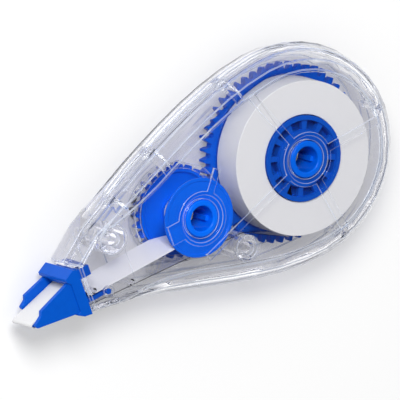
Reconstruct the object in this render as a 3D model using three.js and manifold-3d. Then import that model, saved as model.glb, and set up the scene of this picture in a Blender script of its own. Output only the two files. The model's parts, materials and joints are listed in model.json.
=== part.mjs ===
// Correction tape dispenser lying on its rear cover, in millimetres.
// X runs from the tape head to the round rear end, Y across the case, Z through its thickness.
// Everything is laid out from the supply reel's axis, and the finished group is centred at the end.
import * as THREE from 'three';
import { mergeVertices } from 'three/addons/utils/BufferGeometryUtils.js';
import Module from 'manifold-3d';

const wasm = await Module();
wasm.setup();

// Gears: the supply gear drives the take-up gear
const GEAR_MODULE = 0.57;
const SUPPLY_TEETH = 52;
const TAKE_UP_TEETH = 26;
const GEAR_WIDTH = 1.6;
const PRESSURE_ANGLE = THREE.MathUtils.degToRad(20);
const BACKLASH = 0.08;
const ROOT_DEPTH = 1.25;
const FLANK_STEPS = 3;
const TAKE_UP_RIM_INSET = 0.2;
const DISH_DEPTH = 0.8;
const DISH_RIM = 0.35;

// Tape and reels
const TAPE_WIDTH = 6.0;
const TAPE_THICKNESS = 0.12;
const TAPE_LEAN = 1.1;
const TAPE_LEAN_LENGTH = 3.5;
const ROLL_INSET = 1.67;
const BACKING_DISC_OVERHANG = 0.15;
const BACKING_DISC_THICKNESS = 0.2;
const BOBBIN_RADIUS = 7.3;
const BOBBIN_RIM = 0.75;
const BOBBIN_TUBE_WALL = 1.5;
const BOBBIN_WEB = 0.9;
const BOBBIN_RAISE = 0.4;
const BOBBIN_WINDOWS = 12;
const BOBBIN_WINDOW_SHARE = 0.69;
const BOBBIN_TURN = THREE.MathUtils.degToRad(5.4);
const HUB_RADIUS = 3.15;
const HUB_BORE_RADIUS = 2.15;
const HUB_CHAMFER = 0.2;
const HUB_KEYS = 3;
const HUB_KEY_WIDTH = 0.9;
const HUB_KEY_DEPTH = 0.55;
const HUB_KEY_RECESS = 1.6;
const CLUTCH_WIDTH = 0.65;
const CLUTCH_RING_HEIGHT = 0.9;
const CLUTCH_SPRING_HEIGHT = 0.5;
const TAKE_UP_CORE_RADIUS = 2.55;
const TAKE_UP_SPIGOT_RADIUS = 2.5;
const TAKE_UP_FLANGE_INSET = 0.65;
const TAKE_UP_FLANGE_THICKNESS = 0.4;
const FLANGE_LIP = 0.5;
const FLANGE_RECESS = 0.15;
const WINDING_DEPTH = 0.25;

// Case
const SIDE_WALL = 1.1;
const REAR_PLATE = 1.0;
const FRONT_PLATE = 0.8;
const WALL_BULGE = 1.4;
const NOSE_EDGE_INSET = 0.7;
const BODY_EDGE_INSET = 2.5;
const BULGE_START = 2.5;
const BULGE_FULL = 19.0;
const WALL_ANGLES = [-90, -65, -35, 0, 35, 65, 90].map(THREE.MathUtils.degToRad);
const PANEL_RIM = 0.45;
const PANEL_DEPTH = 0.15;
const PANEL_START = 9.5;
const PARTING_HEIGHT = 6.2;
const LIP_HEIGHT = 0.7;
const LIP_THICKNESS = 0.45;
const GEAR_TO_WALL = 1.2;
const OUTLINE_RISE = 0.5;
const OUTLINE_NARROWING = 0.2;
const OUTLINE_SHOULDER = 14.0;
const SHOULDER_BACK = 1.0;
const NOSE_REACH = 47.2;
const NOSE_RISE = -1.0;
const RAISED_DETAIL = 0.2;
const SPOKE_WIDTH = 1.4;
const WIDE_SPOKE_WIDTH = 3.5;
const LONG_SPOKE_OVERHANG = 2.2;
const BEARING_WALL = 1.4;
const BEARING_STEP = 0.7;
const SPINDLE_RADIUS = 1.95;
const SPINDLE_WALL = 0.8;
const SPINDLE_HEIGHT = 5.2;
const GUIDE_SOCKET = { x: -15.9, y: -8.8, radius: 2.3 };
const SOCKET_HEIGHT = 6.6;
const SOCKET_RIM = 0.6;
const SOCKET_POST_INSET = 0.35;
const SOCKET_PIN_RADIUS = 1.05;
const WALL_RIB_WIDTH = 1.4;
const WALL_RIB_DEPTH = 1.1;
const UPPER_RIB_REACHES = [35, 25, 8];
const LOWER_RIB_REACH = -3;
const REAR_RIB_RISE = 1;

// Nose of the case, laid out from the middle of its mouth
const NOSE_HALF = 4.55;
const NOSE_KINK = { x: 5.4, y: 8.05, leadX: 12.4, leadY: 3.7 };
const NOSE_STEP = { x: 6.3, y: -5.9, depth: 0.6, leadX: 12.5, leadY: 1.4 };
const NOSE_LIFT = 2.1;
const NOSE_RAMP_LENGTH = 5.4;
const NOSE_MOUTH_LIP = 0.8;
const HEAD_SOCKET = { x: 8.0, y: 5.6, radius: 2.7 };

// Pins under the front cover, laid out from the same place: one presses the used tape down,
// and one keeps the two runs apart
const PRESS_PIN = { x: 1.8, y: -1.1, radius: 0.5 };
const PARTING_PIN = { x: 9.0, y: -3.05, radius: 0.55 };

// Tape guard over the take-up gear's teeth
const GUARD_OVERHANG = 0.7;
const GUARD_THICKNESS = 0.3;
const GUARD_SKIRT_WALL = 0.45;
const GUARD_FLAT = { start: THREE.MathUtils.degToRad(37), end: THREE.MathUtils.degToRad(71) };
const GUARD_SKIRT = { start: THREE.MathUtils.degToRad(75), end: THREE.MathUtils.degToRad(285) };

// Tape head and tip, laid out from the same place
const HEAD_WIDTH = 8.6;
const CHEEK_THICKNESS = 0.85;
const COLLAR_LENGTH = 2.0;
const COLLAR_TOP = 4.35;
const COLLAR_CROWN = { drop: 1.3, rise: 0.9, step: 0.3, length: 0.85 };
const COLLAR_BROW = 0.75;
const COLLAR_BROW_HEIGHT = 0.6;
const COLLAR_SLOPE = 0.9;
const COLLAR_BOTTOM = -4.35;
const COLLAR_FOOT = { length: 0.5, rise: 0.25 };
const COLLAR_BEVEL = 0.35;
const CHEEK_TOP = 2.85;
const CHEEK_BOTTOM = -3.3;
const CHEEK_ROOT = 0.4;
const CHEEK_STEP = { x: -9.0, y: 0.5, depth: 0.8, slant: 0.3 };
const FINGER = { x: -10.9, top: -1.25, bottom: -2.0, round: 0.9, bow: 0.1 };
const FINGER_STEPS = 4;
const WINDOW_TOP = 1.8;
const WINDOW_BOTTOM = -3.4;
const TANG_LENGTH = 2.4;
const TANG_TOP = 3.55;
const TANG_ROOT = 0.5;
const BAR_LENGTH = 4.9;
const BAR_TOP = -2.15;
const BAR_CHAMFER = { x: 0.6, y: 0.2 };
const PEG_RADIUS = 0.5;
const PEG_RING_WALL = 0.4;
const TIP = { x: -10.75, y: -1.55, radius: 0.2 };
const CREST = { x: -1.2, y: 0.5, radius: 0.6 };
const WEDGE_BOTTOM = -2.85;

// Clearances
const RUNNING_GAP = 0.3;
const FIT_GAP = 0.15;
const SMALL_GAP = 0.1;

// Fineness of curves
const ROUND_STEPS = 36;
const SMALL_STEPS = 18;
const CURVE_STEPS = 9;
const TURN_STEP = 0.4;
const TAPE_STEP = 2.5;

// Looks
const CLEAR = { color: 0xe9ecf4, roughness: 0.05, metalness: 0, transparent: true, opacity: 0.3 };
const FILM = { color: 0xe4e6ea, roughness: 0.3, metalness: 0, transparent: true, opacity: 0.5 };
const BLUE = { color: 0x0a50cd, roughness: 0.35, metalness: 0 };
const WHITE = { color: 0xdfe1e4, roughness: 0.7, metalness: 0 };
const RUBBER = { color: 0x55585e, roughness: 0.9, metalness: 0 };
const STEEL = { color: 0xb9bcc0, roughness: 0.3, metalness: 1 };

const supplyPitch = GEAR_MODULE * SUPPLY_TEETH / 2;
const takeUpPitch = GEAR_MODULE * TAKE_UP_TEETH / 2;
const axisDistance = supplyPitch + takeUpPitch;
const supplyTip = supplyPitch + GEAR_MODULE;
const rollRadius = supplyPitch - ROLL_INSET;
const backingRadius = rollRadius + BACKING_DISC_OVERHANG;
const takeUpRim = takeUpPitch - TAKE_UP_RIM_INSET;
const flangeRadius = takeUpPitch - TAKE_UP_FLANGE_INSET;
const guardRadius = takeUpPitch + GEAR_MODULE + GUARD_OVERHANG;
const bearingBore = HUB_RADIUS + FIT_GAP;
const bearingRadius = bearingBore + BEARING_WALL;
const rearReach = supplyTip + GEAR_TO_WALL + SIDE_WALL;
const caseHalfWidth = rearReach - OUTLINE_NARROWING;

// A place on the nose, in the layout of the whole case
const onNose = ({ x, y, ...rest }) => ({ x: x - NOSE_REACH, y: y + NOSE_RISE, ...rest });
const noseKink = onNose(NOSE_KINK);
const noseStep = onNose(NOSE_STEP);
const mouthTop = NOSE_RISE + NOSE_HALF;
const mouthBottom = NOSE_RISE - NOSE_HALF;
const headSocket = onNose(HEAD_SOCKET);

// Heights, from the surface that the case lies on
const gearBottom = REAR_PLATE + RUNNING_GAP;
const gearTop = gearBottom + GEAR_WIDTH;
const guardBottom = gearTop + SMALL_GAP;
const guardTop = guardBottom + GUARD_THICKNESS;
const backingBottom = guardTop - BACKING_DISC_THICKNESS;
const tapeBottom = guardTop + SMALL_GAP;
const tapeTop = tapeBottom + TAPE_WIDTH;
const tapeMiddle = (tapeBottom + tapeTop) / 2;
const flangeBottom = tapeTop + SMALL_GAP;
const flangeTop = flangeBottom + TAKE_UP_FLANGE_THICKNESS;
const lidUnderside = flangeTop + SMALL_GAP;
const caseTop = lidUnderside + FRONT_PLATE;
const detailTop = caseTop + RAISED_DETAIL;
const socketBottom = caseTop - SOCKET_HEIGHT;
const headBottom = tapeMiddle - HEAD_WIDTH / 2;
const headTop = tapeMiddle + HEAD_WIDTH / 2;
const cheekInner = { low: tapeBottom - FIT_GAP, high: tapeTop + FIT_GAP };

// Turns a closed geometry into a solid that can be joined and cut
function toSolid(geometry) {
  const bare = new THREE.BufferGeometry();
  bare.setAttribute('position', geometry.getAttribute('position'));
  bare.setIndex(geometry.getIndex());
  const merged = mergeVertices(bare, 1e-4);
  const index = merged.getIndex().array;
  const corners = [];
  for (let i = 0; i < index.length; i += 3) {
    const [a, b, c] = index.slice(i, i + 3);
    if (a !== b && b !== c && c !== a) corners.push(a, b, c);
  }
  return new wasm.Manifold(new wasm.Mesh({
    numProp: 3,
    vertProperties: new Float32Array(merged.getAttribute('position').array),
    triVerts: new Uint32Array(corners),
  }));
}

// Makes a named piece of the dispenser from a solid
function piece(name, solid, look) {
  const { vertProperties, triVerts } = solid.getMesh();
  const shared = new THREE.BufferGeometry();
  shared.setAttribute('position', new THREE.BufferAttribute(vertProperties, 3));
  shared.setIndex(new THREE.BufferAttribute(triVerts, 1));
  const geometry = shared.toNonIndexed();
  geometry.computeVertexNormals();
  const mesh = new THREE.Mesh(geometry, new THREE.MeshStandardMaterial(look));
  mesh.name = name;
  return mesh;
}

const join = (solids) => solids.reduce((whole, next) => whole.add(next));

// Raises a flat outline from one height to another
function raise(points, bottom, top) {
  const depth = top - bottom;
  const geometry = new THREE.ExtrudeGeometry(new THREE.Shape(points), { depth, bevelEnabled: false });
  return toSolid(geometry.translate(0, 0, bottom));
}

// Turns a closed profile of [radius, height] pairs, listed anticlockwise, about the Z axis
function turn(profile, steps = ROUND_STEPS) {
  const points = [...profile, profile[0]].map(([radius, height]) => new THREE.Vector2(radius, height));
  return toSolid(new THREE.LatheGeometry(points, steps).rotateX(Math.PI / 2));
}

function tube(inner, outer, bottom, top, steps = ROUND_STEPS) {
  return turn([[inner, bottom], [outer, bottom], [outer, top], [inner, top]], steps);
}

function post(radius, bottom, top, steps = SMALL_STEPS) {
  return turn([[0, bottom], [radius, bottom], [radius, top], [0, top]], steps);
}

function block([x0, x1], [y0, y1], [z0, z1]) {
  const geometry = new THREE.BoxGeometry(x1 - x0, y1 - y0, z1 - z0);
  return toSolid(geometry.translate((x0 + x1) / 2, (y0 + y1) / 2, (z0 + z1) / 2));
}

// A band of all heights and depths between two places along X
const FAR = 100;
const between = (x0, x1, z0 = -FAR, z1 = FAR) => block([x0, x1], [-FAR, FAR], [z0, z1]);

// Moves each point of an anticlockwise outline inward, square to its sides, by a distance found from it
function inset(points, distanceOf) {
  return points.map((p, i) => {
    const into = p.clone().sub(points.at(i - 1)).normalize();
    const away = points[(i + 1) % points.length].clone().sub(p).normalize();
    const inward = new THREE.Vector2(-into.y - away.y, into.x + away.x).normalize();
    return p.clone().addScaledVector(inward, distanceOf(p) / (inward.y * into.x - inward.x * into.y));
  });
}

// A closed solid through a stack of anticlockwise rings that have the same number of points
function stack(rings, heights) {
  const count = rings[0].length;
  const corners = rings.flatMap((ring, level) => ring.flatMap(({ x, y }) => [x, y, heights[level]]));
  const index = THREE.ShapeUtils.triangulateShape(rings[0], []).flatMap(([a, b, c]) => [c, b, a]);
  const last = (rings.length - 1) * count;
  index.push(...THREE.ShapeUtils.triangulateShape(rings.at(-1), []).flat().map((i) => i + last));
  for (let level = 0; level + 1 < rings.length; level += 1) {
    for (let i = 0; i < count; i += 1) {
      const [a, b] = [level * count + i, level * count + (i + 1) % count];
      index.push(a, b, b + count, a, b + count, a + count);
    }
  }
  const geometry = new THREE.BufferGeometry();
  geometry.setAttribute('position', new THREE.Float32BufferAttribute(corners, 3));
  geometry.setIndex(index);
  return toSolid(geometry);
}

// The drop-shaped outline that the case's curved side wall is built on
function caseOutline() {
  const top = OUTLINE_RISE + caseHalfWidth;
  const bottom = OUTLINE_RISE - caseHalfWidth;
  const shoulder = -SHOULDER_BACK - OUTLINE_SHOULDER;
  const path = new THREE.Path();
  path.moveTo(-SHOULDER_BACK, bottom);
  path.absellipse(-SHOULDER_BACK, OUTLINE_RISE, rearReach + SHOULDER_BACK, caseHalfWidth,
    -Math.PI / 2, Math.PI / 2, false);
  path.bezierCurveTo(shoulder, top,
    noseKink.x + noseKink.leadX, noseKink.y + noseKink.leadY, noseKink.x, noseKink.y);
  path.lineTo(-NOSE_REACH, mouthTop);
  path.lineTo(-NOSE_REACH, mouthBottom);
  path.lineTo(noseStep.x, noseStep.y);
  path.bezierCurveTo(noseStep.x + noseStep.leadX, noseStep.y - noseStep.leadY,
    shoulder, bottom, -SHOULDER_BACK, bottom);
  return path.getPoints(CURVE_STEPS).slice(0, -1);
}

const outline = caseOutline();
const wallLevels = WALL_ANGLES.map((angle) => ({
  height: caseTop * (1 + Math.sin(angle)) / 2,
  share: Math.cos(angle),
}));

// How much of the body's full curve the side wall has at a place along the case, with none at the nose
const curveAt = (x) => THREE.MathUtils.smoothstep(x + NOSE_REACH, BULGE_START, BULGE_FULL);

// How far the flat faces end inside the outline
const edgeInset = (x) => THREE.MathUtils.lerp(NOSE_EDGE_INSET, BODY_EDGE_INSET, curveAt(x));

// How far the curved side wall stands out from the outline at a height
function wallReach(height, x) {
  const next = Math.max(1, wallLevels.findIndex((level) => level.height >= height));
  const [low, high] = [wallLevels[next - 1], wallLevels[next]];
  const share = THREE.MathUtils.mapLinear(height, low.height, high.height, low.share, high.share);
  return (WALL_BULGE * curveAt(x) + edgeInset(x)) * share - edgeInset(x);
}

// What lies within the curved side wall between two heights, at a distance in from its outside
function within(distance, bottom = 0, top = caseTop) {
  const middle = wallLevels.map(({ height }) => height).filter((height) => height > bottom && height < top);
  const heights = [bottom, ...middle, top];
  const ringAt = (height) => inset(outline, ({ x }) => distance - wallReach(height, x));
  return stack(heights.map(ringAt), heights);
}

// Everything above the rear face, which ramps up to the thinner nose
function aboveRear(lift) {
  const side = new THREE.Shape([
    new THREE.Vector2(FAR, lift),
    new THREE.Vector2(FAR, FAR),
    new THREE.Vector2(-FAR, FAR),
    new THREE.Vector2(-FAR, NOSE_LIFT + lift),
    new THREE.Vector2(noseKink.x, NOSE_LIFT + lift),
    new THREE.Vector2(noseKink.x + NOSE_RAMP_LENGTH, lift),
  ]);
  const geometry = new THREE.ExtrudeGeometry(side, { depth: 2 * FAR, bevelEnabled: false });
  return toSolid(geometry.rotateX(Math.PI / 2).translate(0, FAR, 0));
}

// The full outside of the closed case, with a step in the nose's lower edge
function caseBody() {
  const nose = between(-FAR, noseStep.x).subtract(raise([
    new THREE.Vector2(-FAR, FAR),
    new THREE.Vector2(-FAR, mouthBottom),
    new THREE.Vector2(-NOSE_REACH, mouthBottom),
    new THREE.Vector2(noseStep.x, noseStep.y + noseStep.depth),
    new THREE.Vector2(noseStep.x, FAR),
  ], -FAR, FAR));
  return within(0).intersect(aboveRear(0)).subtract(nose);
}

const hollow = within(SIDE_WALL, REAR_PLATE, lidUnderside).intersect(aboveRear(REAR_PLATE));
const mouth = block([-NOSE_REACH - 1, SIDE_WALL + 1 - NOSE_REACH],
  [mouthBottom + SIDE_WALL, mouthTop - NOSE_MOUTH_LIP], [NOSE_LIFT + REAR_PLATE, lidUnderside]);
const shell = caseBody().subtract(hollow).subtract(mouth);
const lipTop = PARTING_HEIGHT + LIP_HEIGHT;
const lipReach = noseKink.x;

// Short ribs on the inside of the side wall, where the two covers hook together
function wallRibs(bottom, top) {
  const half = WALL_RIB_WIDTH / 2;
  const upper = UPPER_RIB_REACHES.map((x) => block([-x - half, half - x], [0, FAR], [bottom, top]));
  const lower = block([-LOWER_RIB_REACH - half, half - LOWER_RIB_REACH], [-FAR, 0], [bottom, top]);
  const rear = block([0, FAR], [REAR_RIB_RISE - half, REAR_RIB_RISE + half], [bottom, top]);
  return join([...upper, lower, rear])
    .intersect(within(SIDE_WALL / 2))
    .subtract(within(SIDE_WALL + WALL_RIB_DEPTH));
}

// Rear cover: a tray with two spindles and two pins that plug into the front cover
function rearCover() {
  const lip = within(SIDE_WALL - LIP_THICKNESS, PARTING_HEIGHT - SMALL_GAP, lipTop)
    .intersect(between(lipReach, FAR));
  const tray = shell.intersect(between(-FAR, FAR, -FAR, PARTING_HEIGHT).add(lip));
  const spindles = [0, -axisDistance].map((x) => (
    tube(SPINDLE_RADIUS - SPINDLE_WALL, SPINDLE_RADIUS, REAR_PLATE / 2, SPINDLE_HEIGHT, SMALL_STEPS)
      .translate(x, 0, 0)));
  const pins = [headSocket, GUIDE_SOCKET].map(({ x, y, radius }) => join([
    post(radius - SOCKET_POST_INSET, REAR_PLATE / 2, socketBottom - SMALL_GAP),
    post(SOCKET_PIN_RADIUS, REAR_PLATE / 2, lidUnderside),
  ]).translate(x, y, 0));
  const ribs = wallRibs(guardTop, PARTING_HEIGHT);
  return join([tray, ribs, ...spindles, ...pins]).intersect(aboveRear(0));
}

// A raised ring round a hub, with a step in its mouth
function bearing(x) {
  const step = bearingRadius - BEARING_STEP;
  return turn([
    [bearingBore, lidUnderside], [bearingRadius, lidUnderside], [bearingRadius, detailTop],
    [step, detailTop], [step, caseTop], [bearingBore, caseTop],
  ]).translate(x, 0, 0);
}

// Bars on the front plate: their start, direction in degrees, length and width
const SPOKES = [
  { degrees: 112, length: FAR },
  { degrees: 0, length: FAR },
  { degrees: -80, length: FAR },
  { degrees: 196, length: axisDistance + LONG_SPOKE_OVERHANG },
  { x: -axisDistance, degrees: 180, length: flangeRadius, width: WIDE_SPOKE_WIDTH },
  { x: -axisDistance, degrees: 49, length: guardRadius },
];

// A raised bar on the front plate, along a ray from an axis
function spoke({ x = 0, degrees, length, width = SPOKE_WIDTH }) {
  const start = bearingRadius - BEARING_STEP / 2;
  return block([start, length], [-width / 2, width / 2], [lidUnderside + SMALL_GAP, detailTop])
    .rotate([0, 0, degrees]).translate(x, 0, 0);
}

// A tube that takes a pin of the rear cover, open through the front plate
function socket({ x, y, radius }) {
  const bore = SOCKET_PIN_RADIUS + SMALL_GAP;
  const step = radius - SOCKET_RIM;
  return turn([
    [bore, socketBottom], [radius, socketBottom], [radius, detailTop],
    [step, detailTop], [step, caseTop], [bore, caseTop],
  ], SMALL_STEPS).translate(x, y, 0);
}

const barHeight = { low: tapeBottom, high: tapeTop - SMALL_GAP };
const barPeg = { x: BAR_LENGTH - PEG_RADIUS, y: (BAR_TOP + WEDGE_BOTTOM) / 2 };

// The ring under the front plate that the tip's peg plugs into
function pegRing() {
  const { x, y } = onNose(barPeg);
  const inner = PEG_RADIUS + FIT_GAP;
  return tube(inner, inner + PEG_RING_WALL, tapeTop + SMALL_GAP, lidUnderside + SMALL_GAP, SMALL_STEPS)
    .translate(x, y, 0);
}

// Front cover: a lid with bearing rings, spokes, sockets and the pins that guide the tape
function frontCover() {
  const rebate = within(SIDE_WALL - LIP_THICKNESS - SMALL_GAP, 0, lipTop + SMALL_GAP)
    .intersect(between(lipReach - SMALL_GAP, FAR));
  const panel = raise(inset(outline, ({ x }) => edgeInset(x) + PANEL_RIM), caseTop - PANEL_DEPTH, FAR)
    .intersect(between(PANEL_START - NOSE_REACH, FAR));
  const spokes = SPOKES.map(spoke);
  const guides = [PRESS_PIN, PARTING_PIN].map(onNose).map(({ x, y, radius }) => (
    post(radius, tapeBottom, lidUnderside + SMALL_GAP).translate(x, y, 0)));
  const holes = [
    ...[0, -axisDistance].map((x) => post(bearingRadius - BEARING_STEP, 0, FAR).translate(x, 0, 0)),
    ...[headSocket, GUIDE_SOCKET].map(({ x, y, radius }) => (
      post(radius - SOCKET_RIM, 0, FAR).translate(x, y, 0))),
  ];
  const rings = [bearing(0), bearing(-axisDistance), socket(headSocket), socket(GUIDE_SOCKET)];
  const face = raise(inset(outline, ({ x }) => edgeInset(x) + SMALL_GAP), lidUnderside, detailTop);
  const inside = within(SIDE_WALL + SMALL_GAP, 0, lipTop + 2 * SMALL_GAP)
    .add(within(SIDE_WALL / 2, lipTop)).add(face);
  const lid = shell.intersect(between(-FAR, FAR, PARTING_HEIGHT + SMALL_GAP, FAR)).subtract(rebate);
  const ribs = wallRibs(PARTING_HEIGHT + SMALL_GAP, lidUnderside + SMALL_GAP);
  const fittings = join([...spokes, ribs, ...guides, pegRing()]).subtract(join(holes)).add(join(rings));
  return lid.subtract(join([panel, ...holes])).add(fittings.intersect(inside));
}

// Half the angle that a tooth takes at a given radius, with involute flanks
function halfToothAngle(teeth, radius) {
  const pitchRadius = GEAR_MODULE * teeth / 2;
  const baseRadius = pitchRadius * Math.cos(PRESSURE_ANGLE);
  const involute = (r) => {
    const angle = Math.acos(Math.min(1, baseRadius / r));
    return Math.tan(angle) - angle;
  };
  return Math.PI / (2 * teeth) - BACKLASH / (2 * pitchRadius) + involute(pitchRadius) - involute(radius);
}

// A spur gear's outline, with its first tooth centred on a given angle
function gearOutline(teeth, firstTooth) {
  const pitchRadius = GEAR_MODULE * teeth / 2;
  const rootRadius = pitchRadius - ROOT_DEPTH * GEAR_MODULE;
  const tipRadius = pitchRadius + GEAR_MODULE;
  const flankFoot = Math.max(rootRadius, pitchRadius * Math.cos(PRESSURE_ANGLE));
  const flank = Array.from({ length: FLANK_STEPS }, (_, i) => (
    THREE.MathUtils.lerp(flankFoot, tipRadius, i / (FLANK_STEPS - 1))));
  const radii = flankFoot > rootRadius ? [rootRadius, ...flank] : flank;
  const points = [];
  for (let tooth = 0; tooth < teeth; tooth += 1) {
    const middle = firstTooth + 2 * Math.PI * tooth / teeth;
    const rise = radii.map((r) => [r, middle - halfToothAngle(teeth, r)]);
    const fall = radii.map((r) => [r, middle + halfToothAngle(teeth, r)]).reverse();
    points.push(...[...rise, ...fall].map(([r, a]) => new THREE.Vector2(r * Math.cos(a), r * Math.sin(a))));
  }
  return points;
}

// The bored front end of a hub, as profile points from its outside to its bore
function hubEnd() {
  const top = detailTop - SMALL_GAP / 2;
  return [
    [HUB_RADIUS, top - HUB_CHAMFER], [HUB_RADIUS - HUB_CHAMFER, top],
    [HUB_BORE_RADIUS + HUB_CHAMFER, top], [HUB_BORE_RADIUS, top - HUB_CHAMFER],
  ];
}

// Keys inside a hub's bore, above the spindle and below the mouth
function hubKeys() {
  const key = block([HUB_BORE_RADIUS - HUB_KEY_DEPTH, HUB_BORE_RADIUS + HUB_CHAMFER],
    [-HUB_KEY_WIDTH / 2, HUB_KEY_WIDTH / 2], [SPINDLE_HEIGHT + RUNNING_GAP, detailTop - HUB_KEY_RECESS]);
  return join(Array.from({ length: HUB_KEYS }, (_, i) => key.rotate([0, 0, 90 + 360 * i / HUB_KEYS])));
}

// Supply gear: a toothed disc with a raised pad and the long hub that shows in the front bearing
function supplyGear() {
  const disc = raise(gearOutline(SUPPLY_TEETH, Math.PI), gearBottom, gearTop);
  const pad = post(backingRadius, gearBottom, backingBottom - SMALL_GAP, ROUND_STEPS);
  const hub = turn([[HUB_BORE_RADIUS, gearBottom], [HUB_RADIUS, gearBottom], ...hubEnd()]);
  const bore = post(HUB_BORE_RADIUS, 0, detailTop, ROUND_STEPS);
  return join([disc.add(pad).subtract(bore), hub, hubKeys()]);
}

// A clear film disc that the roll's rear edge runs on
function backingDisc() {
  return tube(HUB_RADIUS + FIT_GAP, backingRadius, backingBottom, guardTop);
}

// Friction parts between the supply hub and the bobbin, which slips as the roll gets smaller
const clutchInner = HUB_RADIUS + SMALL_GAP;
const clutchOuter = clutchInner + CLUTCH_WIDTH;
const clutchMiddle = tapeBottom + CLUTCH_SPRING_HEIGHT + SMALL_GAP;
const clutchTop = clutchMiddle + CLUTCH_RING_HEIGHT;

function clutchSpring() {
  return tube(clutchInner, clutchOuter, tapeBottom, tapeBottom + CLUTCH_SPRING_HEIGHT);
}

function clutchRing() {
  return tube(clutchInner, clutchOuter, clutchMiddle, clutchTop);
}

// Supply bobbin: two tubes joined by a front web with a ring of windows
function supplyBobbin() {
  const seat = clutchOuter + SMALL_GAP;
  const tubeOuter = bearingBore + BOBBIN_TUBE_WALL;
  const rimInner = BOBBIN_RADIUS - BOBBIN_RIM;
  const webBottom = tapeTop - BOBBIN_WEB;
  const front = tapeTop + BOBBIN_RAISE;
  const bobbin = turn([
    [seat, tapeBottom], [tubeOuter, tapeBottom], [tubeOuter, webBottom], [rimInner, webBottom],
    [rimInner, tapeBottom], [BOBBIN_RADIUS, tapeBottom], [BOBBIN_RADIUS, front], [rimInner, front],
    [rimInner, tapeTop], [tubeOuter, tapeTop], [tubeOuter, front], [bearingBore, front],
    [bearingBore, clutchTop + SMALL_GAP], [seat, clutchTop + SMALL_GAP],
  ]);
  const pitch = 2 * Math.PI / BOBBIN_WINDOWS;
  const windows = Array.from({ length: BOBBIN_WINDOWS }, (_, i) => {
    const start = BOBBIN_TURN + pitch * (i + (1 - BOBBIN_WINDOW_SHARE) / 2);
    const end = start + pitch * BOBBIN_WINDOW_SHARE;
    const arc = new THREE.Path();
    arc.absarc(0, 0, rimInner - SMALL_GAP, start, end, false);
    arc.absarc(0, 0, tubeOuter + SMALL_GAP, end, start, true);
    return raise(arc.getPoints(2), webBottom - SMALL_GAP, front);
  });
  return bobbin.subtract(join(windows));
}

function tapeRoll() {
  return tube(BOBBIN_RADIUS + SMALL_GAP, rollRadius, tapeBottom, tapeTop, 2 * ROUND_STEPS);
}

// Take-up gear: a toothed disc under a wider rim, with a dished front face
function takeUpGear() {
  const disc = raise(gearOutline(TAKE_UP_TEETH, Math.PI / TAKE_UP_TEETH), gearBottom, gearTop);
  const neck = takeUpPitch - ROOT_DEPTH * GEAR_MODULE - SMALL_GAP;
  const bore = TAKE_UP_SPIGOT_RADIUS + FIT_GAP;
  const floor = guardTop - DISH_DEPTH;
  const wall = takeUpRim - DISH_RIM;
  const middle = (bore + wall) / 2;
  const body = turn([
    [bore, gearBottom], [neck, gearBottom], [neck, guardBottom], [takeUpRim, guardBottom],
    [takeUpRim, guardTop], [wall, guardTop], [wall - DISH_RIM, guardTop - DISH_DEPTH / 2],
    [middle + DISH_RIM, floor], [middle - DISH_RIM, floor], [bore + DISH_RIM, guardTop - DISH_DEPTH / 2],
    [bore + DISH_RIM, guardTop], [bore, guardTop],
  ]);
  return disc.subtract(post(neck - SMALL_GAP, 0, caseTop, ROUND_STEPS)).add(body);
}

// Take-up core: a spool with a front flange and the hub that shows in the front bearing
function takeUpCore() {
  const lip = flangeRadius - FLANGE_LIP;
  const spool = turn([
    [HUB_BORE_RADIUS, gearBottom], [TAKE_UP_SPIGOT_RADIUS, gearBottom], [TAKE_UP_SPIGOT_RADIUS, tapeBottom],
    [TAKE_UP_CORE_RADIUS, tapeBottom], [TAKE_UP_CORE_RADIUS, flangeBottom], [flangeRadius, flangeBottom],
    [flangeRadius, flangeTop - SMALL_GAP], [flangeRadius - SMALL_GAP, flangeTop], [lip, flangeTop],
    [lip - FLANGE_RECESS, flangeTop - FLANGE_RECESS], [HUB_RADIUS, flangeTop - FLANGE_RECESS], ...hubEnd(),
  ]);
  return spool.add(hubKeys());
}

const windingInner = TAKE_UP_CORE_RADIUS + SMALL_GAP / 2;
const windingOuter = windingInner + WINDING_DEPTH;

function usedTapeWinding() {
  return tube(windingInner, windingOuter, tapeBottom, tapeTop);
}

// Tape guard: a clear ring over the gear teeth, on a skirt that stands on the rear cover
function tapeGuard() {
  const ring = tube(takeUpRim + FIT_GAP, guardRadius, guardBottom, guardTop);
  const arc = new THREE.Path();
  arc.absarc(0, 0, guardRadius, GUARD_SKIRT.start, GUARD_SKIRT.end, false);
  arc.absarc(0, 0, guardRadius - GUARD_SKIRT_WALL, GUARD_SKIRT.end, GUARD_SKIRT.start, true);
  const skirt = raise(arc.getPoints(SMALL_STEPS / 2), REAR_PLATE + SMALL_GAP, guardTop);
  const flat = guardRadius * Math.cos((GUARD_FLAT.end - GUARD_FLAT.start) / 2);
  const cutter = block([flat, FAR], [-FAR, FAR], [0, caseTop])
    .rotate([0, 0, THREE.MathUtils.radToDeg(GUARD_FLAT.start + GUARD_FLAT.end) / 2]);
  return ring.add(skirt).subtract(cutter);
}

// Where a path that heads a given way touches a guide, whose side is 1 on its left and -1 on its right
function contact({ x, y, radius, side }, clearance, heading) {
  const r = side * (radius + clearance);
  return new THREE.Vector2(x + r * Math.sin(heading), y - r * Math.cos(heading));
}

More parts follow.
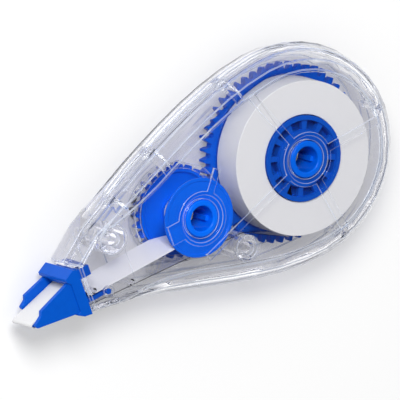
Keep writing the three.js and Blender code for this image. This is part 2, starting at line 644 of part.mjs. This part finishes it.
// A path drawn tight round a row of guides, as one list of points for each guide
function route(guides, clearance) {
  const headings = guides.slice(1).map((next, i) => {
    const from = guides[i];
    const reach = Math.hypot(next.x - from.x, next.y - from.y);
    const step = next.side * (next.radius + clearance) - from.side * (from.radius + clearance);
    return Math.atan2(next.y - from.y, next.x - from.x) - Math.asin(step / reach);
  });
  return guides.map((guide, i) => {
    const arriving = headings[Math.max(i - 1, 0)];
    const leaving = headings[Math.min(i, headings.length - 1)];
    const bend = Math.atan2(Math.sin(leaving - arriving), Math.cos(leaving - arriving));
    const steps = Math.ceil(Math.abs(bend) / TURN_STEP);
    if (steps === 0) return [contact(guide, clearance, arriving)];
    return Array.from({ length: steps + 1 }, (_, k) => (
      contact(guide, clearance, arriving + bend * k / steps)));
  });
}

// The corner under the collar that the fresh tape turns at, and the foot of the wedge's rear slope
const wedgeCorner = { x: -COLLAR_LENGTH, y: WEDGE_BOTTOM, radius: 0, side: -1 };
const wedgeFoot = { x: FIT_GAP, y: BAR_TOP, radius: 0, side: -1 };
const wedgeGuides = [wedgeCorner, { ...TIP, side: -1 }, { ...CREST, side: -1 }];

const [atRoll, atGuide, atParting, atCorner, atTip, atCrest, atPress, atReel] = route([
  { x: 0, y: 0, radius: rollRadius, side: -1 },
  { ...GUIDE_SOCKET, side: 1 },
  ...[{ ...PARTING_PIN, side: -1 }, ...wedgeGuides, { ...PRESS_PIN, side: 1 }].map(onNose),
  { x: -axisDistance, y: 0, radius: windingOuter, side: 1 },
], SMALL_GAP + TAPE_THICKNESS / 2);

// The used tape leans between the press pin and the take-up reel, its rear edge higher than its front edge
function leanAt({ x }) {
  const start = onNose(PRESS_PIN).x + PRESS_PIN.radius;
  const end = -axisDistance - TAKE_UP_SPIGOT_RADIUS;
  const rise = THREE.MathUtils.smoothstep(x, start, start + TAPE_LEAN_LENGTH);
  const fall = THREE.MathUtils.smoothstep(x, -axisDistance - flangeRadius, end);
  return TAPE_LEAN * rise * (1 - fall);
}

// Splits the long legs of a path, and stops it a small gap short of what comes next
function spaced(points) {
  const [before, last] = points.slice(-2);
  const end = last.clone().add(before.clone().sub(last).setLength(SMALL_GAP));
  const trimmed = [...points.slice(0, -1), end];
  return trimmed.flatMap((p, i) => {
    if (i === 0) return [p];
    const from = trimmed[i - 1];
    const steps = Math.max(1, Math.ceil(from.distanceTo(p) / TAPE_STEP));
    return Array.from({ length: steps }, (_, k) => from.clone().lerp(p, (k + 1) / steps));
  });
}

// A strip of tape along a path, with its rear edge raised over its front edge by the lean there
function tapeStrip(arcs, leanOf = () => 0) {
  const path = spaced(arcs.flat());
  const corners = path.flatMap((p, i) => {
    const along = path[Math.min(i + 1, path.length - 1)].clone().sub(path[Math.max(i - 1, 0)]).normalize();
    const [dx, dy] = [-along.y * TAPE_THICKNESS / 2, along.x * TAPE_THICKNESS / 2];
    const lean = leanOf(p);
    return [
      [p.x - dx, p.y - dy + lean, tapeBottom], [p.x + dx, p.y + dy + lean, tapeBottom],
      [p.x + dx, p.y + dy, tapeTop], [p.x - dx, p.y - dy, tapeTop],
    ];
  });
  const index = [];
  const quad = (a, b, c, d) => index.push(a, b, c, a, c, d);
  for (let i = 0; i + 4 < corners.length; i += 4) {
    for (let side = 0; side < 4; side += 1) {
      const next = (side + 1) % 4;
      quad(i + side, i + next, i + 4 + next, i + 4 + side);
    }
  }
  const last = corners.length - 4;
  quad(0, 3, 2, 1);
  quad(last, last + 1, last + 2, last + 3);
  const geometry = new THREE.BufferGeometry();
  geometry.setAttribute('position', new THREE.Float32BufferAttribute(corners.flat(), 3));
  geometry.setIndex(index);
  return toSolid(geometry);
}

// Tape tip: a wedge that presses the tape down, with a bar that plugs into the front cover
function tapeTip() {
  const nose = route([...wedgeGuides, wedgeFoot], 0).flat();
  const wedge = raise([
    ...nose,
    new THREE.Vector2(BAR_LENGTH - BAR_CHAMFER.x, BAR_TOP),
    new THREE.Vector2(BAR_LENGTH, BAR_TOP - BAR_CHAMFER.y),
    new THREE.Vector2(BAR_LENGTH, WEDGE_BOTTOM),
  ], barHeight.low, barHeight.high);
  const peg = post(PEG_RADIUS, barHeight.low, lidUnderside - SMALL_GAP).translate(barPeg.x, barPeg.y, 0);
  return wedge.add(peg);
}

// The side outline of one cheek of the head, with its step and rounded finger
function cheekOutline() {
  const root = CHEEK_ROOT - COLLAR_LENGTH;
  const cheek = new THREE.Path();
  cheek.moveTo(root, CHEEK_BOTTOM);
  cheek.lineTo(root, CHEEK_TOP);
  cheek.lineTo(CHEEK_STEP.x, CHEEK_STEP.y);
  cheek.lineTo(CHEEK_STEP.x - CHEEK_STEP.slant, CHEEK_STEP.y - CHEEK_STEP.depth);
  cheek.lineTo(FINGER.x, FINGER.top);
  cheek.quadraticCurveTo(FINGER.x - FINGER.bow, FINGER.bottom, FINGER.x + FINGER.round, FINGER.bottom);
  return cheek.getPoints(FINGER_STEPS);
}

// The side outline of the collar, which rises to a brow over the tape
function collarOutline() {
  const back = -FIT_GAP;
  const front = back - COLLAR_LENGTH;
  const brow = front - COLLAR_BROW;
  const { drop, rise, step: lead, length } = COLLAR_CROWN;
  return [
    [back, COLLAR_BOTTOM], [back, COLLAR_TOP - drop], [back - lead, COLLAR_TOP - drop + rise],
    [back - length, COLLAR_TOP], [brow, COLLAR_TOP - COLLAR_SLOPE],
    [brow, COLLAR_TOP - COLLAR_SLOPE - COLLAR_BROW_HEIGHT], [front, WINDOW_TOP + COLLAR_BEVEL],
    [front, CHEEK_BOTTOM + COLLAR_BEVEL], [brow, CHEEK_BOTTOM],
    [front + COLLAR_FOOT.length, COLLAR_BOTTOM + COLLAR_FOOT.rise],
  ].map(([x, y]) => new THREE.Vector2(x, y));
}

// Tape head: a collar with two cheeks and a tang that plugs into the case's nose
function tapeHead() {
  const cheek = cheekOutline();
  const cheeks = [
    raise(cheek, cheekInner.low - CHEEK_THICKNESS, cheekInner.low),
    raise(cheek, cheekInner.high, cheekInner.high + CHEEK_THICKNESS),
  ];
  const window = block([-FAR, FAR], [WINDOW_BOTTOM, WINDOW_TOP], [cheekInner.low, cheekInner.high]);
  const tang = block([-FIT_GAP - TANG_ROOT, TANG_LENGTH], [WINDOW_TOP, TANG_TOP],
    [NOSE_LIFT + REAR_PLATE + FIT_GAP, lidUnderside - FIT_GAP]);
  return raise(collarOutline(), headBottom, headTop).subtract(window).add(join([...cheeks, tang]));
}

const supplyReel = new THREE.Group();
supplyReel.add(piece('supply_gear', supplyGear(), BLUE));
supplyReel.add(piece('roll_backing_disc', backingDisc(), FILM));
supplyReel.add(piece('clutch_spring', clutchSpring(), STEEL));
supplyReel.add(piece('clutch_ring', clutchRing(), RUBBER));
supplyReel.add(piece('supply_bobbin', supplyBobbin(), BLUE));
supplyReel.add(piece('tape_roll', tapeRoll(), WHITE));

const takeUpReel = new THREE.Group();
takeUpReel.position.x = -axisDistance;
takeUpReel.add(piece('take_up_gear', takeUpGear(), BLUE));
takeUpReel.add(piece('take_up_core', takeUpCore(), BLUE));
takeUpReel.add(piece('used_tape_winding', usedTapeWinding(), FILM));
takeUpReel.add(piece('tape_guard', tapeGuard(), CLEAR));

const head = new THREE.Group();
head.position.set(-NOSE_REACH, NOSE_RISE, 0);
head.add(piece('tape_head', tapeHead(), BLUE));
head.add(piece('tape_tip', tapeTip(), BLUE));

const dispenser = new THREE.Group();
dispenser.add(supplyReel, takeUpReel, head);
dispenser.add(piece('rear_cover', rearCover(), CLEAR));
dispenser.add(piece('front_cover', frontCover(), CLEAR));
dispenser.add(piece('fresh_tape_run', tapeStrip([atRoll, atGuide, atParting, atCorner[0]]), WHITE));
dispenser.add(piece('tip_tape_fold', tapeStrip([atCorner, atTip, atCrest[0]]), WHITE));
dispenser.add(piece('used_tape_run', tapeStrip([atCrest, atPress, atReel], leanAt), WHITE));

// The origin goes to the middle of the case's length and width, on the surface that it lies on
dispenser.updateMatrixWorld(true);
const box = new THREE.Box3().setFromObject(dispenser, true);
dispenser.position.set(-(box.min.x + box.max.x) / 2, -(box.min.y + box.max.y) / 2, -box.min.z);

export default dispenser;
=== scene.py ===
# Correction tape dispenser: a clear case with blue gears and reels, on a pale studio floor.
import json
import math

import bmesh
import bpy
from mathutils import Matrix, Vector


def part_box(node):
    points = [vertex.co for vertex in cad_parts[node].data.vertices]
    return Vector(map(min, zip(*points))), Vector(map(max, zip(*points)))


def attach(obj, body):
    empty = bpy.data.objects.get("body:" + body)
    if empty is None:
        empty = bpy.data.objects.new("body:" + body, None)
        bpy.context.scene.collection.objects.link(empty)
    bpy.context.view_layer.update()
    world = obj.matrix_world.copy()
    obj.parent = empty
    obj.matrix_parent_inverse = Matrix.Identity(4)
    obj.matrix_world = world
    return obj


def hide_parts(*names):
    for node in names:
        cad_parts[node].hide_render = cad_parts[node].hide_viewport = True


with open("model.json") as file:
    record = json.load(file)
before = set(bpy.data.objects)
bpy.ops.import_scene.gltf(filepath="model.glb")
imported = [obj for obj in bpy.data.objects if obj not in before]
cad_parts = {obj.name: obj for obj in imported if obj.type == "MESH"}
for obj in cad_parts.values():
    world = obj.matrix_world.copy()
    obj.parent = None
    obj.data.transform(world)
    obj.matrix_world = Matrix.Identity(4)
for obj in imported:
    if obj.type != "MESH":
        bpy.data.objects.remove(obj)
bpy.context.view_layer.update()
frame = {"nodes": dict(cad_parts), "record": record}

NODES = frame["nodes"]
ROLL_LOW, ROLL_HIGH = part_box("tape_roll")
REEL_AXIS = (ROLL_LOW + ROLL_HIGH) / 2
MM = 0.001

# The photograph's view: camera axes in the row frame, the pixel of the supply reel's axis,
# how far the front cover's highest detail stands above its face in mm, and the camera's
# distances in metres
VIEW_RIGHT = Vector((0.786, -0.302, 0.539))
VIEW_UP = Vector((0.445, 0.883, -0.154))
PHOTO_SIZE = 400
PIXELS_PER_MM = 6.0
REEL_PIXEL = (306.9, 159.4)
RAISED_DETAIL = 0.2
CAMERA_DISTANCE = 0.6
NEAREST_SEEN = 0.01

# Meshes: sizes in mm and angles in degrees
MERGE_DISTANCE = 0.0002
MERGE_ANGLE = 0.5
SHARP_ANGLE = 28.0
CLEAR_SHARP_ANGLE = 50.0
WALL_LINE_ANGLES = (14, 40)
CORNER_ANGLES = (40, 180)
LEVEL_SLOPE = 0.3
WALL_LINE_WIDTH = 0.16
CORNER_ROUNDING = 0.1
ROUNDING_STEPS = 2
SMALLEST_EDGE = 0.004
FACE_AREA_WEIGHT = 100

# The cheek next to the rear cover: where it starts and its top face in mm,
# and how much it loses and rises for each mm of its length
CHEEK_ROOT = -30.5
FAR_CHEEK_TOP = 3.3
FAR_CHEEK_CUT = 0.295
FAR_CHEEK_RISE = 0.14

# The floor below the bobbin's windows, in mm
WINDOW_FLOOR_RADII = (4.7, 6.65)
WINDOW_FLOOR_HEIGHTS = (7.3, 7.5)
WINDOW_FLOOR_STEPS = 72

# Clear plastic: its faces, and its walls from the darkest streak to the clearest part,
# with the streaks' scale along x, y and z. The walls' grey-violet streaks are painted shade
# and the blue streak is a painted reflection of the blue gears, while the faces keep a plain tint.
FACE_TINT = (0.97, 0.97, 0.98, 1)
WALL_PAINTED_SHADE_AND_REFLECTION = [
    (0.27, (0.2, 0.32, 0.85, 1)),
    (0.31, (0.55, 0.58, 0.74, 1)),
    (0.37, (0.995, 0.995, 0.998, 1)),
]
STREAK_SCALE = (60, 60, 1100)
STREAK_DETAIL = 2.0
# Painted highlight on the clear plastic's rounded edges: its two pale tints
EDGE_HIGHLIGHT_TINTS = ((0.68, 0.78, 0.95, 1), (0.88, 0.92, 0.98, 1))

# How upright a normal is where a face begins to pass into a wall, and where it is all wall
FACE_UPRIGHT = 0.97
WALL_UPRIGHT = 0.8

# What a lamp's light keeps on its way through clear plastic
FACE_SHADE = (0.94, 0.94, 0.96, 1)
WALL_SHADE = (0.6, 0.6, 0.65, 1)

# Moulded plastic and tape: the two tones between which the pattern moves. The blues are
# multiplied by a brightness, and the tape's tones are added to a whiteness. Depths are in mm.
# Brightnesses above the head's paint light on blue pieces that lie under the cover.
BLUE_TONES = ((0.0, 0.084, 0.54), (0.0, 0.102, 0.61))
TAPE_TONES = ((-0.03, -0.03, -0.02), (0.02, 0.02, 0.03))
ROLL_TONES = ((0.84, 0.84, 0.825, 1), (0.89, 0.89, 0.875, 1))
RINGS_PER_MM = 1.3
RING_DEPTH = 0.03
BUMP_DETAIL = 3.0
BUMP_DEPTH = 0.05

# Studio, in metres and watts
FLOOR_SIZE = 3.0
FLOOR_DROP = 0.00002
FLOOR_WHITE_SHARE = 0.3
KEY_TOWARD = Vector((-0.25, 0.62, 0.76))
KEY_DISTANCE = 0.7
KEY_SIZE = 0.28
KEY_POWER = 4.0
AMBIENT = 0.48
WHITE = (1.0, 1.0, 1.0, 1)

# What glossy and clear surfaces see, from the horizon up to the zenith
CEILING = [
    (0.0, WHITE),
    (0.25, (0.9, 0.9, 0.95, 1)),
    (0.45, (0.36, 0.36, 0.52, 1)),
    (0.62, (0.06, 0.06, 0.12, 1)),
    (1.0, (0.04, 0.04, 0.09, 1)),
]

# Shader nodes


def new_material(name):
    """A material with one principled shader, and what is needed to add to it."""
    material = bpy.data.materials.new(name)
    material.use_nodes = True
    nodes, links = material.node_tree.nodes, material.node_tree.links
    nodes.clear()
    output = nodes.new("ShaderNodeOutputMaterial")
    shader = nodes.new("ShaderNodeBsdfPrincipled")
    links.new(shader.outputs[0], output.inputs["Surface"])
    return material, nodes, links, shader, output


def set_inputs(node, values):
    for name, value in values.items():
        node.inputs[name].default_value = value


def larger(nodes, links, first, second):
    """The larger of two values."""
    node = nodes.new("ShaderNodeMath")
    node.operation = "MAXIMUM"
    links.new(first, node.inputs[0])
    links.new(second, node.inputs[1])
    return node.outputs[0]


def colour_mix(nodes, links, share, first, second):
    """A colour between two, each of which is a value or another node's output."""
    mix = nodes.new("ShaderNodeMix")
    mix.data_type = "RGBA"
    links.new(share, mix.inputs["Factor"])
    for colour, socket in ((first, mix.inputs["A"]), (second, mix.inputs["B"])):
        if isinstance(colour, tuple):
            socket.default_value = colour
        else:
            links.new(colour, socket)
    return mix.outputs["Result"]


def shader_mix(nodes, links, share, first, second):
    mix = nodes.new("ShaderNodeMixShader")
    for i, source in enumerate((share, first, second)):
        links.new(source, mix.inputs[i])
    return mix.outputs[0]


def colour_ramp(nodes, links, factor, stops):
    """Colours along a factor, from pairs of a position and a colour."""
    ramp = nodes.new("ShaderNodeValToRGB")
    points = ramp.color_ramp.elements
    first, *middle, last = stops
    points[0].position, points[0].color = first
    points[1].position, points[1].color = last
    for position, colour in middle:
        points.new(position).color = colour
    links.new(factor, ramp.inputs["Fac"])
    return ramp.outputs["Color"]


def bump(nodes, links, shader, height, strength, depth):
    """An uneven surface, with its depth in mm."""
    node = nodes.new("ShaderNodeBump")
    set_inputs(node, {"Strength": strength, "Distance": depth * MM})
    links.new(height, node.inputs["Height"])
    links.new(node.outputs["Normal"], shader.inputs["Normal"])


def noise_bump(nodes, links, shader, scale, strength):
    """A fine uneven surface, in object space so that it stays on the piece."""
    place = nodes.new("ShaderNodeTexCoord")
    noise = nodes.new("ShaderNodeTexNoise")
    set_inputs(noise, {"Scale": scale, "Detail": BUMP_DETAIL})
    links.new(place.outputs["Object"], noise.inputs["Vector"])
    bump(nodes, links, shader, noise.outputs["Fac"], strength, BUMP_DEPTH)
    return noise.outputs["Fac"]


def mapped(nodes, links, **values):
    """Object coordinates, moved or stretched."""
    place = nodes.new("ShaderNodeTexCoord")
    mapping = nodes.new("ShaderNodeMapping")
    set_inputs(mapping, values)
    links.new(place.outputs["Object"], mapping.inputs["Vector"])
    return mapping.outputs["Vector"]


# Materials


def wall_share(nodes, links):
    """0 on faces that look up or down, and 1 on the sides."""
    geometry = nodes.new("ShaderNodeNewGeometry")
    split = nodes.new("ShaderNodeSeparateXYZ")
    upright = nodes.new("ShaderNodeMath")
    upright.operation = "ABSOLUTE"
    share = nodes.new("ShaderNodeMapRange")
    set_inputs(share, {"From Min": FACE_UPRIGHT, "From Max": WALL_UPRIGHT})
    links.new(geometry.outputs["True Normal"], split.inputs[0])
    links.new(split.outputs["Z"], upright.inputs[0])
    links.new(upright.outputs[0], share.inputs["Value"])
    return share.outputs["Result"]


def layered_noise(nodes, links):
    """Long level streaks, as in a clear wall that carries the light along; they pattern the walls'
    painted shade and painted reflection.
    """
    noise = nodes.new("ShaderNodeTexNoise")
    set_inputs(noise, {"Scale": 1.0, "Detail": STREAK_DETAIL})
    links.new(mapped(nodes, links, Scale=STREAK_SCALE), noise.inputs["Vector"])
    return noise.outputs["Fac"]


def passing_light(nodes, links, shader, output, tone):
    """Lets lamps and soft light through a clear surface, so that what is inside stays lit."""
    path = nodes.new("ShaderNodeLightPath")
    through = nodes.new("ShaderNodeBsdfTransparent")
    links.new(tone, through.inputs["Color"])
    share = larger(nodes, links, path.outputs["Is Shadow Ray"], path.outputs["Is Diffuse Ray"])
    surface = shader_mix(nodes, links, share, shader.outputs[0], through.outputs[0])
    links.new(surface, output.inputs["Surface"])


def clear_plastic(name, roughness):
    """Clear thin-walled polystyrene, which bends light little and shines like polished plastic,
    with painted shade and a painted blue reflection in streaks on its walls.
    """
    material, nodes, links, shader, output = new_material(name)
    side = wall_share(nodes, links)
    # The walls get painted shade and a painted reflection of the blue gears, the faces a plain
    # tint
    wall_painted_light = colour_ramp(nodes, links, layered_noise(nodes, links), WALL_PAINTED_SHADE_AND_REFLECTION)
    links.new(colour_mix(nodes, links, side, FACE_TINT, wall_painted_light), shader.inputs["Base Color"])
    set_inputs(shader, {
        "Roughness": roughness, "IOR": 1.12, "Transmission Weight": 1.0,
        "Coat Weight": 1.0, "Coat IOR": 1.5, "Coat Roughness": roughness,
    })
    shade = colour_mix(nodes, links, side, FACE_SHADE, WALL_SHADE)
    passing_light(nodes, links, shader, output, shade)
    return material


def painted_edge_highlight(name):
    """The rounded edges of clear plastic, with a painted highlight: a partly matt pale colour that
    shows as pale lines.
    """
    material, nodes, links, shader, output = new_material(name)
    shade = colour_mix(nodes, links, layered_noise(nodes, links), *EDGE_HIGHLIGHT_TINTS)
    links.new(shade, shader.inputs["Base Color"])
    set_inputs(shader, {"Roughness": 0.2, "IOR": 1.4, "Transmission Weight": 0.7})
    passing_light(nodes, links, shader, output, shade)
    return material


def two_tone(name, tones, scale, strength, values):
    """A surface with slight changes of tone and height, both from the same noise."""
    material, nodes, links, shader, _ = new_material(name)
    noise = noise_bump(nodes, links, shader, scale, strength)
    dark, light = tones
    ramp = colour_ramp(nodes, links, noise, [(0.0, dark), (1.0, light)])
    links.new(ramp, shader.inputs["Base Color"])
    set_inputs(shader, values)
    return material


def moulded_blue(name, brightness):
    """Satin blue plastic; a higher brightness paints light on a copy of it."""
    tones = [(*(part * brightness for part in tone), 1) for tone in BLUE_TONES]
    return two_tone(name, tones, scale=900.0, strength=0.12,
                    values={"Roughness": 0.28, "Specular IOR Level": 0.1})


def white_tape(name, whiteness):
    """Matt off-white tape; its whiteness paints light and shade on copies of one tape."""
    tones = [(*(whiteness + part for part in tone), 1) for tone in TAPE_TONES]
    return two_tone(name, tones, scale=2500.0, strength=0.1, values={"Roughness": 0.55})


def wound_tape(name):
    """The roll's faces, with the fine rings of its turns round the reel's axis."""
    material, nodes, links, shader, _ = new_material(name)
    rings = nodes.new("ShaderNodeTexWave")
    rings.wave_type = "RINGS"
    rings.rings_direction = "Z"
    set_inputs(rings, {"Scale": RINGS_PER_MM / MM, "Distortion": 1.5, "Detail": 2.0})
    centred = mapped(nodes, links, Location=(-REEL_AXIS.x, -REEL_AXIS.y, 0))
    links.new(centred, rings.inputs["Vector"])
    dark, light = ROLL_TONES
    ramp = colour_ramp(nodes, links, rings.outputs["Fac"], [(0.0, dark), (1.0, light)])
    links.new(ramp, shader.inputs["Base Color"])
    bump(nodes, links, shader, rings.outputs["Fac"], strength=0.15, depth=RING_DEPTH)
    set_inputs(shader, {"Roughness": 0.5})
    return material


def plain_material(name, scale, strength, values):
    """One colour with a fine uneven surface, for pieces that hardly show."""
    material, nodes, links, shader, _ = new_material(name)
    noise_bump(nodes, links, shader, scale, strength)
    set_inputs(shader, values)
    return material


clear = clear_plastic("clear_case", roughness=0.02)
# The clear edges' material paints a pale highlight on the roundings
edges = painted_edge_highlight("clear_case_edge_highlight")
film = clear_plastic("clear_film", roughness=0.08)
# The gears' and take-up's blues are copies of the one blue painted lighter, standing in for light
# that reaches them under the cover
blue = moulded_blue("moulded_blue", brightness=0.93)
drive_blue_painted_light = moulded_blue("gear_blue_painted_light", brightness=1.22)
take_up_blue_painted_light = moulded_blue("take_up_blue_painted_light", brightness=1.5)
# One tape in two whitenesses: the darker one, chosen for the tape at the tip in the open, paints
# shade, and the lighter one paints light on the used tape's run under the cover
white = white_tape("white_tape", whiteness=0.7)
inner_white_painted_light = white_tape("inner_tape_painted_light", whiteness=0.95)
roll_white = wound_tape("wound_tape")
rubber = plain_material("friction_rubber", scale=1500.0, strength=0.3, values={
    "Base Color": (0.1, 0.1, 0.11, 1), "Roughness": 0.8})
steel = plain_material("washer_steel", scale=3000.0, strength=0.1, values={
    "Base Color": (0.6, 0.61, 0.63, 1), "Metallic": 1.0, "Roughness": 0.3})

# Pieces


def body_name(node):
    bodies = frame["record"]["behaviour"]["bodies"]
    return next(name for name, nodes in bodies.items() if node in nodes)


def node_shape(node, whole_faces):
    """The node's mesh, with its flat faces in one piece each where that is wanted."""
    shape = bmesh.new()
    shape.from_mesh(NODES[node].data)
    bmesh.ops.remove_doubles(shape, verts=shape.verts, dist=MERGE_DISTANCE * MM)
    if whole_faces:
        bmesh.ops.dissolve_limit(shape, angle_limit=math.radians(MERGE_ANGLE),
                                 verts=shape.verts, edges=shape.edges)
    for face in shape.faces:
        face.smooth = True
    return shape


def mark_sharp(shape, angle):
    for side in shape.edges:
        side.smooth = side.calc_face_angle(0.0) < math.radians(angle)


def finished(shape, node, slot, *materials):
    """Turns a mesh under way into a piece that rides with its node's body and replaces it."""
    mesh = bpy.data.meshes.new(node + "_skin")
    shape.to_mesh(mesh)
    shape.free()
    piece = bpy.data.objects.new(node + "_skin", mesh)
    bpy.context.scene.collection.objects.link(piece)
    for material in materials:
        mesh.materials.append(material)
    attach(piece, body_name(node))
    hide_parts(node)
    return piece


def flat_faces_flat(piece, keep_sharp):
    """Lets the large faces set the shading, so that only the roundings look round."""
    normals = piece.modifiers.new("flat_faces_flat", "WEIGHTED_NORMAL")
    normals.keep_sharp = keep_sharp
    normals.weight = FACE_AREA_WEIGHT


def dressed(node, material, slot, edge, reshape=None):
    """A finished copy of a CAD node, its edges rounded by a width in mm or left alone at 0."""
    shape = node_shape(node, whole_faces=True)
    if reshape:
        reshape(shape)
    mark_sharp(shape, SHARP_ANGLE)
    piece = finished(shape, node, slot, material)
    if edge:
        bevel = piece.modifiers.new("rounded_edges", "BEVEL")
        bevel.width = edge * MM
        bevel.segments = ROUNDING_STEPS
        bevel.limit_method = "ANGLE"
        bevel.angle_limit = math.radians(SHARP_ANGLE)
    flat_faces_flat(piece, keep_sharp=not edge)


def shorter_far_cheek(shape):
    """Ends the cheek next to the rear cover before the near one, and higher up."""
    for corner in shape.verts:
        reach = CHEEK_ROOT * MM - corner.co.x
        if reach > 0 and corner.co.z < FAR_CHEEK_TOP * MM:
            corner.co.x += FAR_CHEEK_CUT * reach
            corner.co.y += FAR_CHEEK_RISE * reach


def window_floor(shape):
    """A plain floor a little below the bobbin's windows, as a ring inside it."""
    inner, outer = WINDOW_FLOOR_RADII
    low, high = WINDOW_FLOOR_HEIGHTS
    section = [(inner, low), (outer, low), (outer, high), (inner, high)]
    rings = []
    for step in range(WINDOW_FLOOR_STEPS):
        turn = 2 * math.pi * step / WINDOW_FLOOR_STEPS
        rings.append([shape.verts.new((REEL_AXIS.x + radius * MM * math.cos(turn),
                                       REEL_AXIS.y + radius * MM * math.sin(turn), height * MM))
                      for radius, height in section])
    for ring, following in zip(rings, rings[1:] + rings[:1]):
        for i in range(len(section)):
            after = (i + 1) % len(section)
            face = shape.faces.new((ring[i], following[i], following[after], ring[after]))
            face.smooth = True


def turns_outward(side, least, most):
    """Whether the two faces at an edge turn outward by an angle in a range of degrees."""
    turn = math.degrees(side.calc_face_angle(0.0))
    return side.is_manifold and side.is_convex and least < turn <= most


def level(side):
    """Whether an edge runs nearly level."""
    first, second = (end.co for end in side.verts)
    return abs(first.z - second.z) < LEVEL_SLOPE * side.calc_length()


def rounded(shape, sides, width):
    """Rounds edges, and marks the rounding as the edge material's, which carries the painted
    highlight.
    """
    bmesh.ops.bevel(shape, geom=sides, offset=width * MM, offset_type="OFFSET",
                    segments=ROUNDING_STEPS, profile=0.5, affect="EDGES",
                    clamp_overlap=False, material=1)


def clear_piece(node):
    """A clear moulding whose rounded edges show as pale lines of painted highlight, level wall
    edges first.
    """
    shape = node_shape(node, whole_faces=False)
    rounded(shape, [side for side in shape.edges
                    if turns_outward(side, *WALL_LINE_ANGLES) and level(side)], WALL_LINE_WIDTH)
    rounded(shape, [side for side in shape.edges
                    if turns_outward(side, *CORNER_ANGLES)
                    and side.calc_length() > CORNER_ROUNDING * MM], CORNER_ROUNDING)
    bmesh.ops.dissolve_degenerate(shape, dist=SMALLEST_EDGE * MM, edges=shape.edges)
    mark_sharp(shape, CLEAR_SHARP_ANGLE)
    flat_faces_flat(finished(shape, node, "clear_plastic", clear, edges), keep_sharp=True)


for name in ("rear_cover", "front_cover", "tape_guard"):
    clear_piece(name)
dressed("tape_head", blue, "blue_plastic", 0.1, shorter_far_cheek)
dressed("tape_tip", blue, "blue_plastic", 0.1)
dressed("supply_bobbin", blue, "blue_plastic", 0.1, window_floor)
dressed("take_up_gear", take_up_blue_painted_light, "blue_plastic", 0.2)
dressed("take_up_core", take_up_blue_painted_light, "blue_plastic", 0.2)
dressed("supply_gear", drive_blue_painted_light, "blue_plastic", 0.06)
dressed("roll_backing_disc", film, "clear_film", 0.04)
dressed("used_tape_winding", white, "backing_film", 0.03)
dressed("tape_roll", roll_white, "white_tape", 0.12)
dressed("tip_tape_fold", white, "white_tape", 0)
dressed("used_tape_run", inner_white_painted_light, "white_tape", 0)
dressed("fresh_tape_run", film, "clear_film", 0)
dressed("clutch_ring", rubber, "friction_rubber", 0.05)
dressed("clutch_spring", steel, "spring_steel", 0.05)

# Studio


def sent_on(nodes, links, path):
    """1 for rays that glossy and clear surfaces send on."""
    return larger(nodes, links, path.outputs["Is Glossy Ray"], path.outputs["Is Transmission Ray"])


def make_floor():
    """A pale matt floor that keeps the shadow and looks a little whiter than it lights."""
    bpy.ops.mesh.primitive_plane_add(size=FLOOR_SIZE, location=(0, 0, -FLOOR_DROP))
    floor = bpy.context.object
    floor.name = "floor"
    material, nodes, links, shader, output = new_material("floor")
    noise_bump(nodes, links, shader, scale=40.0, strength=0.02)
    set_inputs(shader, {
        "Base Color": (0.97, 0.97, 0.97, 1), "Roughness": 0.8, "Specular IOR Level": 0.1})
    path = nodes.new("ShaderNodeLightPath")
    seen = larger(nodes, links, path.outputs["Is Camera Ray"], sent_on(nodes, links, path))
    share = nodes.new("ShaderNodeMath")
    share.operation = "MULTIPLY"
    share.inputs[1].default_value = FLOOR_WHITE_SHARE
    links.new(seen, share.inputs[0])
    glow = nodes.new("ShaderNodeEmission")
    surface = shader_mix(nodes, links, share.outputs[0], shader.outputs[0], glow.outputs[0])
    links.new(surface, output.inputs["Surface"])
    floor.data.materials.append(material)


def make_key():
    """One soft lamp, high up and towards the top of the photograph."""
    data = bpy.data.lights.new("key", "AREA")
    data.shape = "DISK"
    data.size = KEY_SIZE
    data.energy = KEY_POWER
    lamp = bpy.data.objects.new("key", data)
    bpy.context.scene.collection.objects.link(lamp)
    lamp.location = KEY_TOWARD.normalized() * KEY_DISTANCE
    lamp.rotation_euler = (-lamp.location).to_track_quat("-Z", "Y").to_euler()


def make_world():
    """White for the camera, even soft light for matt surfaces, and the ceiling for the rest."""
    world = bpy.data.worlds.new("studio")
    bpy.context.scene.world = world
    world.use_nodes = True
    nodes, links = world.node_tree.nodes, world.node_tree.links
    nodes.clear()
    output = nodes.new("ShaderNodeOutputWorld")
    path = nodes.new("ShaderNodeLightPath")
    place = nodes.new("ShaderNodeTexCoord")
    split = nodes.new("ShaderNodeSeparateXYZ")
    links.new(place.outputs["Generated"], split.inputs[0])
    even, ceiling, clean = (nodes.new("ShaderNodeBackground") for _ in range(3))
    set_inputs(even, {"Color": WHITE, "Strength": AMBIENT})
    set_inputs(clean, {"Color": WHITE})
    links.new(colour_ramp(nodes, links, split.outputs["Z"], CEILING), ceiling.inputs["Color"])
    unseen = shader_mix(nodes, links, sent_on(nodes, links, path),
                        even.outputs[0], ceiling.outputs[0])
    surface = shader_mix(nodes, links, path.outputs["Is Camera Ray"], unseen, clean.outputs[0])
    links.new(surface, output.inputs["Surface"])


def make_camera():
    """A camera without perspective, with the reel's axis at its pixel of the photograph."""
    right = VIEW_RIGHT.normalized()
    up = (VIEW_UP - right * VIEW_UP.dot(right)).normalized()
    back = right.cross(up)
    face_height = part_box("front_cover")[1].z - RAISED_DETAIL * MM
    reel = Vector((REEL_AXIS.x, REEL_AXIS.y, face_height))
    scale = MM / PIXELS_PER_MM
    offset = right * (REEL_PIXEL[0] - PHOTO_SIZE / 2) - up * (REEL_PIXEL[1] - PHOTO_SIZE / 2)
    target = reel - offset * scale
    data = bpy.data.cameras.new("photo_camera")
    camera = bpy.data.objects.new("photo_camera", data)
    bpy.context.scene.collection.objects.link(camera)
    data.type = "ORTHO"
    data.ortho_scale = PHOTO_SIZE * scale
    data.clip_start = NEAREST_SEEN
    turn = Matrix((right, up, back)).transposed().to_4x4()
    camera.matrix_world = Matrix.Translation(target + back * CAMERA_DISTANCE) @ turn
    bpy.context.scene.camera = camera


make_floor()
make_key()
make_world()
make_camera()
bpy.context.scene.view_settings.view_transform = "Standard"
